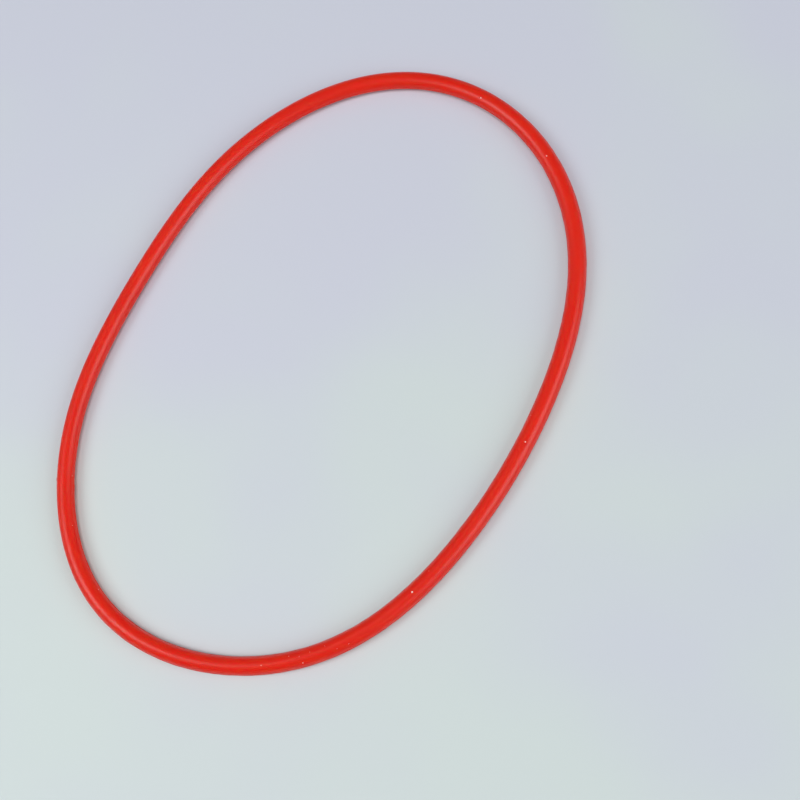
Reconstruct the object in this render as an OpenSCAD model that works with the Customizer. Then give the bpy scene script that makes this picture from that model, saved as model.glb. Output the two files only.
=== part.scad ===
// Silicone O-ring, moulded in one piece and lying free on a flat surface.
// The strand keeps the length it was moulded with, while the soft ring rests a little out of round.
// Millimetres. +X runs along the long way across, +Z up, and z = 0 is the surface it lies on.
// The origin is on that surface, under the middle of the outline.

/* [Ring] */
// Diameter of the hole when the ring is round, as it leaves the mould
inside_dia = 107.54; // [60:0.01:200]
// Diameter of the strand
section_dia = 3.53; // [1.78:0.01:6.99]

/* [Parting line] */
// How far the mould's parting line stands out of the strand, inside and outside the ring
flash_height = 0.08; // [0.03:0.01:0.1]
// Thickness of the parting line
flash_thickness = 0.16; // [0.08:0.01:0.2]

/* [Lie] */
// Out of round: share by which the curvature rises at both ends and falls along both sides
oval = 0.568; // [0:0.001:0.7]
// Share of the mean radius by which the +Y side lies flatter than the -Y side
egg = 0.06; // [0:0.001:0.1]
// Share of the mean radius by which both ends lean over, turned the same way
lean = 0.052; // [0:0.001:0.1]

/* [Hidden] */

// Radius of the middle of the strand when the ring is round
mean_radius = (inside_dia + section_dia) / 2;
strand_radius = section_dia / 2;

// The middle of the strand is a closed chain of tangent arcs, each turning it by the same angle.
// A multiple of four puts a station at the outermost point of every side.
stations = 96;
turn = 360 / stations;

// How far the strand's heading at the place u along it is beyond the heading a, in degrees.
// The curvature there is 1 + oval * cos(2 * u), and the heading is its sum along the strand.
function heading_miss(u, a) = u + oval * 90 / PI * sin(2 * u) - a;

// Place along the strand where it faces the heading a, from the guess u, by Newton's rule
function place(a, u, steps = 8) = steps == 0
    ? u
    : place(a, u - heading_miss(u, a) / (1 + oval * cos(2 * u)), steps - 1);

// Heading of the middle of arc i
function middle(i) = (i + 0.5) * turn;

// Bend radii of an evenly pressed oval, then scaled so that their mean is 1 and the length stays true
loose_radii = [for (i = [0 : stations - 1]) 1 / (1 + oval * cos(2 * place(middle(i), middle(i))))];
loose_mean = loose_radii * [for (i = [0 : stations - 1]) 1 / stations];

// Bend radius of each arc. The waves of three and four to a turn leave the length and the closing as they are.
bend_radii = [for (i = [0 : stations - 1])
    mean_radius * (loose_radii[i] / loose_mean - egg * sin(3 * middle(i)) + lean * sin(4 * middle(i)))];

// Step from the start of arc i to its end
function chord(i) = 2 * bend_radii[i] * sin(turn / 2) * [-sin(middle(i)), cos(middle(i))];

// Middle of the strand at each station, counted from the +X end
starts = [for (i = 0, p = [0, 0]; i < stations; p = p + chord(i), i = i + 1) p];

// Middle of the outline, halfway between its outermost points
outline_middle = [
    (starts[0][0] + starts[stations / 2][0]) / 2,
    (starts[stations / 4][1] + starts[3 * stations / 4][1]) / 2
];

// Steps round the upper half of the strand's section, and as many round the lower
half_steps = 12;

// Angle above the middle plane at which the round meets the parting line's fin
fin_angle = asin(flash_thickness / section_dia);

// Outline of the strand's section, outward side first: the thin fin, the upper half,
// the inward fin and the lower half
function half_round(from) = [for (k = [0 : half_steps])
    let (a = from + fin_angle + k * (180 - 2 * fin_angle) / half_steps)
    strand_radius * [cos(a), sin(a)]];
function fin_end(side) = [for (up = [-1, 1])
    [side * (strand_radius + flash_height), side * up * flash_thickness / 2]];
section_outline = concat(fin_end(1), half_round(0), fin_end(-1), half_round(180));
section_count = len(section_outline);

// Section outline set upright at station i, facing that station's heading
function section_at(i) =
    let (middle_point = starts[i] - outline_middle, out = [cos(i * turn), sin(i * turn)])
    [for (q = section_outline)
        [middle_point[0] + q[0] * out[0], middle_point[1] + q[0] * out[1], strand_radius + q[1]]];

// The section carried round the closed chain of stations
module o_ring() {
    points = [for (i = [0 : stations - 1]) each section_at(i)];
    faces = [for (i = [0 : stations - 1], k = [0 : section_count - 1])
        let (here = i * section_count, next = (i + 1) % stations * section_count, k_next = (k + 1) % section_count)
        [here + k, here + k_next, next + k_next, next + k]];
    color("red")
        polyhedron(points, faces, convexity = 4);
}

o_ring();
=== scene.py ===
# %% [markdown]
# # A red silicone O-ring
#
# An O-ring is one loop of soft rubber with a round section. This one lies free on a pale
# table. It has kept the length it was moulded with, but it has relaxed into an oval, a little
# flatter along one side than along the other. What makes it look like silicone is small:
# an even satin red, soft strips of light along the strand, the thin fin where the two mould
# halves met, and a few grains of dust that the rubber has picked up.
#
# The part arrives as a solid at its real size. It stays the measure for everything here.

# %% Load the part
import math

import bmesh
import bpy
import numpy as np
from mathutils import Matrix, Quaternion, Vector


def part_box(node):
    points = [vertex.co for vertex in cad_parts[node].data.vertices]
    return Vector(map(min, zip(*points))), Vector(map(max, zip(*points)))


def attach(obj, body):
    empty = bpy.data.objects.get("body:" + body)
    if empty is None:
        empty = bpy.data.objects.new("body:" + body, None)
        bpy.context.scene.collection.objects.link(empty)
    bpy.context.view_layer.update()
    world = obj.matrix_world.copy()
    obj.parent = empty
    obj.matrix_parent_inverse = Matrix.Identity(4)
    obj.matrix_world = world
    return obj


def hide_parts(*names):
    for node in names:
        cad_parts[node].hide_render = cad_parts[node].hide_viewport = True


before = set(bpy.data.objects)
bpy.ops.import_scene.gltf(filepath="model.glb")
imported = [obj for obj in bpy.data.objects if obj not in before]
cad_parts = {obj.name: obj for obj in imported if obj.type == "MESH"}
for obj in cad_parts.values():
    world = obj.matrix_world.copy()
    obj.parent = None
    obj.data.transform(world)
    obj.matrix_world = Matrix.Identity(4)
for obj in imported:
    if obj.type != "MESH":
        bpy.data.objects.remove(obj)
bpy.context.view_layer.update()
ring_low, ring_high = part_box("o_ring")
MM = 0.001
print("part:", [round(v / MM, 3) for v in ring_high - ring_low], "mm")

# %% [markdown]
# ## The sizes of the ring
#
# A designer orders an O-ring by two numbers, the inside diameter and the diameter of the
# strand. Three shares say how it lies: how far it is pressed out of round, how much flatter
# its +Y side is, and how far its ends lean. They could be read off the solid's mesh, but as
# named values, the same as in the solid, they say what the ring is.

# %% Sizes and lie
inside_dia = 107.54 * MM
section_dia = 3.53 * MM
flash_height = 0.08 * MM
flash_thickness = 0.16 * MM
oval, egg, lean = 0.568, 0.06, 0.052
strand_radius = section_dia / 2
mean_radius = (inside_dia + section_dia) / 2
strand_length = 2 * math.pi * mean_radius
print("strand length", round(strand_length / MM, 1), "mm")

# %% [markdown]
# ## The line that the strand follows
#
# The curvature of a relaxed ring swings gently along its length. A curve object could be bent
# by hand until it looks right, but it would have kinks in its curvature and the wrong length.
# So the line is built as a closed chain of arcs that each turn the strand by the same angle,
# with a bend radius from a formula. Arcs join without a kink, and the mean of the radii sets
# the length.

# %% Chain of tangent arcs
ARCS = 96
STEPS_PER_ARC = 12
NEWTON_STEPS = 8
turn = 2 * math.pi / ARCS


def bend_radii():
    """Bend radius of each arc, from the middle of the arc's headings."""
    heading = (np.arange(ARCS) + 0.5) * turn
    place = heading.copy()
    for _ in range(NEWTON_STEPS):
        missed = place + oval / 2 * np.sin(2 * place) - heading
        place = place - missed / (1 + oval * np.cos(2 * place))
    loose = 1 / (1 + oval * np.cos(2 * place))
    waves = lean * np.sin(4 * heading) - egg * np.sin(3 * heading)
    return mean_radius * (loose / loose.mean() + waves)


def strand_line():
    """Points on the middle of the strand, as complex numbers, and the outward angle at each."""
    radii = bend_radii()
    middle = (np.arange(ARCS) + 0.5) * turn
    chords = 2 * radii * np.sin(turn / 2) * 1j * np.exp(1j * middle)
    starts = np.concatenate([[0], np.cumsum(chords)[:-1]])
    middle_x = (starts[0].real + starts[ARCS // 2].real) / 2
    middle_y = (starts[ARCS // 4].imag + starts[3 * ARCS // 4].imag) / 2
    starts = starts - (middle_x + 1j * middle_y)
    step = np.arange(ARCS * STEPS_PER_ARC)
    arc = step // STEPS_PER_ARC
    heading = step * turn / STEPS_PER_ARC
    centre = starts[arc] - radii[arc] * np.exp(1j * arc * turn)
    points = centre + radii[arc] * np.exp(1j * heading)
    return points, heading


arc_line, headings = strand_line()
print(len(arc_line), "points on the chain of arcs")

# %% [markdown]
# ## The small bends it keeps
#
# Silicone that has been bagged and hung for weeks takes a slight set. The oval above is the
# large part of it. What is left is a wander of less than half a millimetre. It could be
# sculpted, but a few waves to the turn describe it well. Each wave is worth a cosine and a
# sine along the strand, so the line stays closed and smooth.

# %% Set of the rubber
# Waves to the turn, with the millimetres of cosine and sine that each one moves the line outward
SET_WAVES = {4: (-0.138, -0.043), 5: (0.041, -0.043), 6: (0.069, 0.068), 7: (-0.028, 0.073)}


def share_of_length(points):
    """How far along the strand each point lies, from 0 to 1."""
    steps = np.abs(np.diff(np.append(points, points[0])))
    return np.concatenate([[0], np.cumsum(steps)[:-1]]) / steps.sum()


along = share_of_length(arc_line)
wander = sum(c * np.cos(2 * math.pi * wave * along) + s * np.sin(2 * math.pi * wave * along)
             for wave, (c, s) in SET_WAVES.items()) * MM
line = arc_line + wander * np.exp(1j * headings)
print("the set moves the line by", round(wander.min() / MM, 2), "to", round(wander.max() / MM, 2), "mm")
fin_tip = strand_radius + flash_height
outline = [round((np.ptp(side) + 2 * fin_tip) / MM, 3) for side in (line.real, line.imag)]
print("outline", outline, "mm")

# %% [markdown]
# ## The section
#
# The mould opens along the middle of the ring, inside and outside. A little silicone always
# creeps into that gap and stays on the ring as a thin fin. The section is therefore a round
# with a fin at each side. A curve's own bevel would give the round in one step, but the fin
# needs corners at exact places. They are soft ones, since a trimmed edge of rubber is never
# sharp.

# %% Section of the strand
HALF_STEPS = 24
# How much of the fin's height its soft corners take
FIN_CORNER = 0.35


def section_outline():
    """Outward and upward distance of each point of the section, counter-clockwise from the outer fin."""
    half = flash_thickness / 2
    corner = FIN_CORNER * flash_height
    fin_angle = math.asin(half / strand_radius)
    fin = [(fin_tip - corner, -half), (fin_tip, -half + corner),
           (fin_tip, half - corner), (fin_tip - corner, half)]
    points = list(fin)
    for side in (0, math.pi):
        if side:
            points += [(-x, -y) for x, y in fin]
        for k in range(HALF_STEPS + 1):
            a = side + fin_angle + k * (math.pi - 2 * fin_angle) / HALF_STEPS
            points.append((strand_radius * math.cos(a), strand_radius * math.sin(a)))
    return np.array(points)


section = section_outline()
print(len(section), "points round the section")

# %% [markdown]
# ## The fin
#
# The fin of a real ring is never even. It is torn off after moulding, so its height wanders,
# and in one place a small tab of it is left on each side. A bump in the finish could only
# shade that. Here the height is real, a sum of smooth waves along the strand with the two
# tabs added, because the fin shows on the ring's outline.

# %% Fin that wanders
# Waves to the turn in the fin's height, and how far they move it, in fin heights
FIN_WAVES = (9, 23, 41, 67, 101, 131)
FIN_MEAN, FIN_WANDER = 0.92, 0.2
FIN_LEAST, FIN_MOST = 0.3, 1.15
# Place of each tab along the strand, its length, and its height in fin heights
tabs = {"out": (0.387, 0.45 * MM, 1.6), "in": (0.3921, 0.7 * MM, 1.4)}
rng = np.random.default_rng(7)


def wandering(waves, reach):
    """A smooth closed wander along the strand, mostly between plus and minus reach."""
    total = sum(np.cos(2 * math.pi * (wave * along + rng.random())) for wave in waves)
    return reach * total / math.sqrt(len(waves))


fin_height = {}
for side, (place, length, height) in tabs.items():
    away = (along - place) * strand_length / length
    wander_here = FIN_MEAN + wandering(FIN_WAVES, FIN_WANDER)
    fin_height[side] = np.clip(wander_here, FIN_LEAST, FIN_MOST) + height * np.exp(-away ** 2)
    print(side, "fin", round(fin_height[side].min() * flash_height / MM, 3), "to",
          round(fin_height[side].max() * flash_height / MM, 3), "mm high")

# %% [markdown]
# ## The strand
#
# A curve object with the section as its bevel could sweep the ring, but it can't change the
# fin's height on the way. Carrying the section along the line by hand gives the skin as one
# grid of quads that closes on itself both ways. It is watertight without any clean-up, and it
# has a plain set of UVs: u along the strand and v round it.


# %% Build the strand
def build_strand(name):
    """One closed mesh: the section at every point of the line, with the fin's own height there."""
    rows, columns = len(line), len(section)
    out = np.exp(1j * headings)[:, None]
    across = np.tile(section[:, 0], (rows, 1))
    up = np.tile(section[:, 1], (rows, 1)) + strand_radius
    for side, sign in (("out", 1), ("in", -1)):
        beyond = np.clip(sign * across - strand_radius, 0, None)
        across = across + sign * beyond * (fin_height[side][:, None] - 1)
    flat = line[:, None] + across * out
    points = np.stack([flat.real, flat.imag, up], axis=-1).reshape(-1, 3)

    row, column = np.arange(rows), np.arange(columns)
    here = row[:, None] * columns + column
    ahead = np.roll(here, -1, axis=0)
    quads = np.stack([here, ahead, np.roll(ahead, -1, axis=1), np.roll(here, -1, axis=1)], axis=-1)
    mesh = bpy.data.meshes.new(name)
    mesh.from_pydata(points.tolist(), [], quads.reshape(-1, 4).tolist())
    mesh.polygons.foreach_set("use_smooth", np.ones(len(mesh.polygons), bool))

    u = np.stack([row, row + 1, row + 1, row], axis=-1) / rows
    v = np.stack([column, column, column + 1, column + 1], axis=-1) / columns
    uv = np.stack([np.repeat(u[:, None], columns, 1), np.repeat(v[None], rows, 0)], axis=-1)
    mesh.uv_layers.new(name="along_and_round").data.foreach_set("uv", uv.ravel())
    mesh.update()
    made = bpy.data.objects.new(name, mesh)
    bpy.context.scene.collection.objects.link(made)
    return made


strand = build_strand("strand")
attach(strand, "root")
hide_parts("o_ring")
print("strand:", len(strand.data.polygons), "quads")

# %% [markdown]
# ## The camera
#
# The picture is taken from above, 30 cm away and leaning 16 degrees, with the camera turned so
# that the ring's long way runs from lower left to upper right. A camera can be moved by hand
# until the outlines meet. Here its place was worked out from the strand, which looks wider
# where it is nearer. The camera comes early, because small marks are placed through it.

# %% Camera
PICTURE = 800
FOCAL_PIXELS = 1500
SENSOR_WIDTH = 36
camera_place = Vector((-34.31, -90.89, 287.52)) * MM
camera_target = Vector((1.869, -17.709, 1.765)) * MM
camera_roll = math.radians(32.67)

camera_data = bpy.data.cameras.new("camera")
camera_data.sensor_width = SENSOR_WIDTH
camera_data.lens = SENSOR_WIDTH * FOCAL_PIXELS / PICTURE
camera = bpy.data.objects.new("camera", camera_data)
bpy.context.scene.collection.objects.link(camera)
camera.location = camera_place
camera.rotation_mode = "QUATERNION"
looking = (camera_target - camera_place).to_track_quat("-Z", "Y")
camera.rotation_quaternion = looking @ Quaternion((0, 0, 1), -camera_roll)
bpy.context.scene.camera = camera
bpy.context.view_layer.update()

camera_slant = (camera_place - camera_target).angle(Vector((0, 0, 1)))
print("camera", round((camera_place - camera_target).length / MM), "mm away, leaning",
      round(math.degrees(camera_slant), 1), "degrees")

# %% [markdown]
# ## Writing a finish as a sum
#
# A finish is a picture made of numbers. It could be wired up node by node, but then its maths
# is hard to read. So a socket is wrapped in a small class, and the sums between patterns read
# as the formulas they are.


# %% Socket maths
class Pattern:
    """An output socket of a material, which can stand in a formula."""

    def __init__(self, tree, socket):
        self.tree, self.socket = tree, socket

    @classmethod
    def node(cls, tree, kind, settings=None, sockets=None, out=0):
        """Adds a node with its settings, then its socket values or links, and gives one output."""
        made = tree.nodes.new(kind)
        for name, value in (settings or {}).items():
            setattr(made, name, value)
        for name, value in (sockets or {}).items():
            if isinstance(value, Pattern):
                tree.links.new(value.socket, made.inputs[name])
            else:
                made.inputs[name].default_value = value
        return cls(tree, made.outputs[out])

    def math(self, operation, *values):
        """A Math node on patterns and numbers, in the order given."""
        sockets = dict(enumerate(values))
        return Pattern.node(self.tree, "ShaderNodeMath", {"operation": operation}, sockets)

    def __add__(self, other):
        return self.math("ADD", self, other)

    def __radd__(self, other):
        return self.math("ADD", other, self)

    def __sub__(self, other):
        return self.math("SUBTRACT", self, other)

    def __rsub__(self, other):
        return self.math("SUBTRACT", other, self)

    def __mul__(self, other):
        return self.math("MULTIPLY", self, other)

    def __rmul__(self, other):
        return self.math("MULTIPLY", other, self)

    def __abs__(self):
        return self.math("ABSOLUTE", self)

    def vector(self, operation, *values, out=0):
        """A Vector Math node on this pattern and the values given."""
        sockets = dict(enumerate((self, *values)))
        return Pattern.node(self.tree, "ShaderNodeVectorMath", {"operation": operation}, sockets, out)

    def fade(self, start, end):
        """0 at start, 1 at end, smooth between."""
        sockets = {"Value": self, "From Min": start, "From Max": end}
        settings = {"interpolation_type": "SMOOTHSTEP"}
        return Pattern.node(self.tree, "ShaderNodeMapRange", settings, sockets)


# %% [markdown]
# ## Patterns for every finish
#
# Each finish below starts the same way, with a material, the place on the piece and a cloudy
# pattern. The nodes could be added again for every finish. As helpers they are written once,
# and a finish is then a few lines long.


# %% Finish helpers
def new_finish(name):
    """A material, its node tree and its main shader."""
    material = bpy.data.materials.new(name)
    material.use_nodes = True
    return material, material.node_tree, material.node_tree.nodes["Principled BSDF"]


def place_of(tree):
    """The place of the shaded point, in metres."""
    return Pattern.node(tree, "ShaderNodeTexCoord", out="Object")


def noise(place, size, detail=2.0):
    """A cloudy pattern from 0 to 1 whose blobs are about size metres across."""
    sockets = {"Vector": place, "Scale": 1 / size, "Detail": detail}
    return Pattern.node(place.tree, "ShaderNodeTexNoise", None, sockets)


def mixed(factor, first, second):
    """The first colour where factor is 0, the second where it is 1."""
    sockets = {0: factor, 6: first, 7: second}
    return Pattern.node(factor.tree, "ShaderNodeMix", {"data_type": "RGBA"}, sockets, out=2)


def feed(shader, socket, pattern):
    """Links a pattern into a socket of the shader."""
    pattern.tree.links.new(pattern.socket, shader.inputs[socket])


# %% [markdown]
# ## Red silicone
#
# Coloured silicone is the same red all through, with very little cloudiness. Its skin copies
# the mould, which was blasted to a fine satin, so the shine is soft. An image could be wrapped
# round the strand, but noise in the space of the ring has no seam and needs no UVs. Light
# enters the rubber and spreads in it, which subsurface scattering gives: the red travels
# millimetres and the other colours hardly at all. The fin is so thin that light passes through
# it, and that light is painted on the fin as a paler red along the strand.

# %% Silicone finish
deep_red = (0.695, 0.0125, 0.001, 1)
bright_red = (0.80, 0.021, 0.002, 1)
lit_through_red = (0.85, 0.05, 0.03, 1)
# How much of the paler red the fin has, painted light that shines through it,
# and where it ends above and below, in fin thicknesses
LIT_THROUGH_SHARE = 0.7
FIN_EDGE, FIN_FADED = 0.5, 0.6
# Blob sizes of the cloudiness, of the satin's unevenness, and of the skin's ripple and grain
CLOUD, SATIN, RIPPLE, GRAIN = 9 * MM, 2.5 * MM, 1.1 * MM, 0.15 * MM
# The least roughness, and what the satin's unevenness and the grain add to it at most
SMOOTHEST, SATIN_SHARE, GRAIN_SHARE = 0.285, 0.14, 0.05
GRAIN_HEIGHT = 0.008 * MM
RIPPLE_TO_GRAIN = 8
SILICONE_IOR = 1.42
# How far red, green and blue travel in the rubber, as shares of the reach of the red
LIGHT_REACH = 5 * MM
REACH_SHARES = (1.0, 0.06, 0.03)


def silicone_finish():
    """Satin red that light enters, with light through the fin painted on as a paler red."""
    material, tree, shader = new_finish("red_silicone")
    place = place_of(tree)
    red = mixed(noise(place, CLOUD, 3.0), deep_red, bright_red)
    height = Pattern.node(tree, "ShaderNodeSeparateXYZ", None, {"Vector": place}, out="Z")
    off_middle = abs(height - strand_radius)
    on_fin = 1 - off_middle.fade(flash_thickness * FIN_EDGE, flash_thickness * FIN_FADED)
    # Painted light: the fin's paler red stands for light shining through the thin fin
    feed(shader, "Base Color", mixed(on_fin * LIT_THROUGH_SHARE, red, lit_through_red))
    grain = noise(place, GRAIN)
    ripple = noise(place, RIPPLE)
    uneven = noise(place, SATIN, 4.0)
    feed(shader, "Roughness", SMOOTHEST + SATIN_SHARE * uneven + GRAIN_SHARE * grain)
    skin = {"Strength": 1.0, "Distance": GRAIN_HEIGHT, "Height": grain + RIPPLE_TO_GRAIN * ripple}
    feed(shader, "Normal", Pattern.node(tree, "ShaderNodeBump", None, skin))
    shader.inputs["IOR"].default_value = SILICONE_IOR
    shader.inputs["Subsurface Weight"].default_value = 1.0
    shader.inputs["Subsurface Radius"].default_value = REACH_SHARES
    shader.inputs["Subsurface Scale"].default_value = LIGHT_REACH
    return material


strand.data.materials.append(silicone_finish())
print("silicone on the strand")

# %% [markdown]
# ## Dust
#
# Silicone is slightly tacky and charges easily, so it gathers grains of dust. White dots in
# the finish would look flat from close by. The grains are real specks that sit on the skin, so
# they are small stones of geometry, sunk into it by more than half their height, each put
# where the picture shows one.

# %% Dust grains
# Pixel of each grain in the picture, its width in millimetres and how many times as long it is
dust_pixels = [
    (412.1, 592.0, 0.40, 1), (480.8, 97.9, 0.27, 1), (546.6, 155.9, 0.25, 1), (525.3, 441.9, 0.26, 1),
    (530.8, 415.3, 0.09, 1), (428.7, 571.0, 0.09, 1), (348.8, 643.9, 0.12, 1), (337.0, 648.6, 0.09, 1),
    (324.8, 646.0, 0.09, 1), (309.7, 652.1, 0.09, 1), (302.9, 662.9, 0.12, 3), (299.3, 656.5, 0.10, 1),
    (288.6, 656.3, 0.13, 1), (261.0, 665.6, 0.13, 1), (98.4, 589.4, 0.13, 1), (72.5, 525.3, 0.12, 1),
    (72.4, 476.0, 0.12, 1),
]
# Depth of a grain's middle under the skin, its height, and its roughness, in grain widths
DUST_SUNK, DUST_FLATNESS, DUST_ROUGHNESS = 0.1, 0.7, 0.18


def under_pixel(px, py):
    """Place and outward direction of the strand's skin under a pixel of the picture, or None."""
    half = PICTURE / 2
    ray = camera.matrix_world.to_3x3() @ Vector((px - half, half - py, -FOCAL_PIXELS))
    hit, place, normal, _ = strand.ray_cast(camera_place, ray.normalized())
    return (place, normal) if hit else None


def grain_shape(width, times_as_long):
    """Corners and faces of one rough little stone, flatter than it is wide."""
    ball = bmesh.new()
    bmesh.ops.create_icosphere(ball, subdivisions=2, radius=width / 2)
    for corner in ball.verts:
        corner.co *= 1 + rng.uniform(-DUST_ROUGHNESS, DUST_ROUGHNESS)
        corner.co.x *= times_as_long
        corner.co.z *= DUST_FLATNESS
    corners = [corner.co.copy() for corner in ball.verts]
    faces = [tuple(corner.index for corner in face.verts) for face in ball.faces]
    ball.free()
    return corners, faces


def build_dust(name):
    """All grains as one piece, each turned to the skin and sunk into it."""
    corners, faces = [], []
    for px, py, width, times_as_long in dust_pixels:
        place, normal = under_pixel(px, py)
        set_down = normal.to_track_quat("Z", "Y") @ Quaternion((0, 0, 1), rng.uniform(0, math.tau))
        middle = place - normal * width * MM * DUST_SUNK
        shape, sides = grain_shape(width * MM, times_as_long)
        first = len(corners)
        corners += [middle + set_down @ corner for corner in shape]
        faces += [tuple(first + k for k in side) for side in sides]
    mesh = bpy.data.meshes.new(name)
    mesh.from_pydata(corners, [], faces)
    mesh.update()
    made = bpy.data.objects.new(name, mesh)
    bpy.context.scene.collection.objects.link(made)
    return made


dust = build_dust("dust_grains")
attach(dust, "root")
print(len(dust_pixels), "grains with", len(dust.data.vertices), "corners")

# %% [markdown]
# ## What the dust looks like
#
# Workshop dust is lint and pale powder. It is dull, and the red rubber shines through its thin
# places. It could let light through as the rubber does, but a grain is one or two pixels wide,
# so a pinkish patch in an off-white says the same.

# %% Dust finish
DUST_PATCH = 0.1 * MM
# The least roughness, and what the patches add to it at most
DUST_SMOOTHEST, DUST_PATCH_SHARE = 0.6, 0.3
pinkish, off_white = (0.95, 0.72, 0.68, 1), (1.0, 0.95, 0.92, 1)


def dust_finish():
    """Dull off-white with pinkish patches."""
    material, tree, shader = new_finish("pale_dust")
    patches = noise(place_of(tree), DUST_PATCH)
    feed(shader, "Base Color", mixed(patches, pinkish, off_white))
    feed(shader, "Roughness", DUST_SMOOTHEST + DUST_PATCH_SHARE * patches)
    return material


dust.data.materials.append(dust_finish())
print("dust finished")

# %% [markdown]
# ## The table
#
# The ring lies on a plain pale sheet, with faint clouds between a bluish and a greenish grey.
# A bent backdrop could close the view behind it. A large flat sheet is simpler: far out it
# turns into the backdrop's own colour, and only for what the camera sees, so the light on the
# ring stays the same.

# %% Table
BACKDROP = (0.66, 0.70, 0.74, 1)
TABLE_REACH = 3.0
bluish, greenish = (0.63, 0.655, 0.75, 1), (0.65, 0.73, 0.72, 1)
TABLE_CLOUD = 70 * MM
# How fast the greenish share grows with the place, for each metre of x, y and z
GREENER_TOWARDS = (-2.4, -1.4, 0)
# Value of the clouds where the table is still bluish, and where it is quite greenish
BLUISH_TO, GREENISH_FROM = 0.3, 0.8
TABLE_ROUGHNESS = 0.6
# Where the sheet begins to turn into the backdrop, and where it has done so
FAR_START, FAR_END = 200 * MM, 700 * MM


def seen_by_camera(tree):
    """1 for what the camera sees directly, 0 for every other ray."""
    return Pattern.node(tree, "ShaderNodeLightPath", out="Is Camera Ray")


def table_finish():
    """Clouded pale grey that glows as the backdrop far out."""
    material, tree, shader = new_finish("pale_table")
    place = place_of(tree)
    slope = place.vector("DOT_PRODUCT", GREENER_TOWARDS, out="Value")
    clouds = (noise(place, TABLE_CLOUD) + slope).fade(BLUISH_TO, GREENISH_FROM)
    feed(shader, "Base Color", mixed(clouds, bluish, greenish))
    shader.inputs["Roughness"].default_value = TABLE_ROUGHNESS
    glow = Pattern.node(tree, "ShaderNodeEmission", None, {"Color": BACKDROP})
    far = place.vector("LENGTH", out="Value").fade(FAR_START, FAR_END)
    sockets = {0: far * seen_by_camera(tree), 1: Pattern(tree, shader.outputs[0]), 2: glow}
    both = Pattern.node(tree, "ShaderNodeMixShader", None, sockets)
    tree.links.new(both.socket, tree.nodes["Material Output"].inputs["Surface"])
    return material


table_mesh = bpy.data.meshes.new("table")
table_corners = [(TABLE_REACH * x, TABLE_REACH * y, 0) for x, y in ((-1, -1), (1, -1), (1, 1), (-1, 1))]
table_mesh.from_pydata(table_corners, [], [(0, 1, 2, 3)])
table = bpy.data.objects.new("table", table_mesh)
bpy.context.scene.collection.objects.link(table)
table.data.materials.append(table_finish())
print("table", 2 * TABLE_REACH, "m across")

# %% [markdown]
# ## The light
#
# The strand mirrors each light wherever it runs across the light's direction, so one light
# gives two soft strips, on opposite sides of the ring. Two broad lights on opposite sides give
# the four strips. Such a pair alone would also throw dark shadows, which the picture doesn't
# have. So each light has a partner that adds to the shine alone, and a light overhead does
# the rest of the lighting and stays out of the shine.


# %% Lights
def soft_light(name, toward, distance, width, height, power):
    """A broad light, width by height in metres, that faces the ring from the direction toward."""
    data = bpy.data.lights.new(name, "AREA")
    data.shape = "RECTANGLE"
    data.size, data.size_y = width, height
    data.energy = power
    light = bpy.data.objects.new(name, data)
    light.location = Vector(toward).normalized() * distance
    light.rotation_mode = "QUATERNION"
    light.rotation_quaternion = light.location.to_track_quat("Z", "Y")
    bpy.context.scene.collection.objects.link(light)
    return light


# Direction from the ring, distance, width and height, in metres
FRONT = ((0.184, -0.798, 0.574), 1.3, 0.94, 0.90)
BACK = ((-0.45, 0.43, 0.77), 0.75, 0.26, 0.42)
OVERHEAD = ((-0.1, -0.12, 1.0), 1.2, 0.4, 0.4)
# Watts of each light, and of the partner that adds to the shine alone
FRONT_POWER, FRONT_SHEEN = 5.6, 4.2
BACK_POWER, BACK_SHEEN = 1.75, 0.85
OVERHEAD_POWER = 4.9
soft_light("front_light", *FRONT, FRONT_POWER)
soft_light("back_light", *BACK, BACK_POWER)
soft_light("front_sheen", *FRONT, FRONT_SHEEN).visible_diffuse = False
soft_light("back_sheen", *BACK, BACK_SHEEN).visible_diffuse = False
soft_light("overhead", *OVERHEAD, OVERHEAD_POWER).visible_glossy = False
print(len(bpy.data.lights), "lights")

# %% [markdown]
# ## The room
#
# Walls and ceiling send a little light back from all round, which keeps the shadows open. They
# could be modelled, but an even grey world does the same at this scale. The camera sees the
# backdrop's colour in its place, so that the far table has no edge.

# %% Room
soft_room = (0.22, 0.227, 0.231, 1)
world = bpy.data.worlds.new("room")
bpy.context.scene.world = world
world.use_nodes = True
room_tree = world.node_tree
feed(room_tree.nodes["Background"], "Color", mixed(seen_by_camera(room_tree), soft_room, BACKDROP))
bpy.context.scene.view_settings.view_transform = "Standard"
print("room", soft_room[:3])
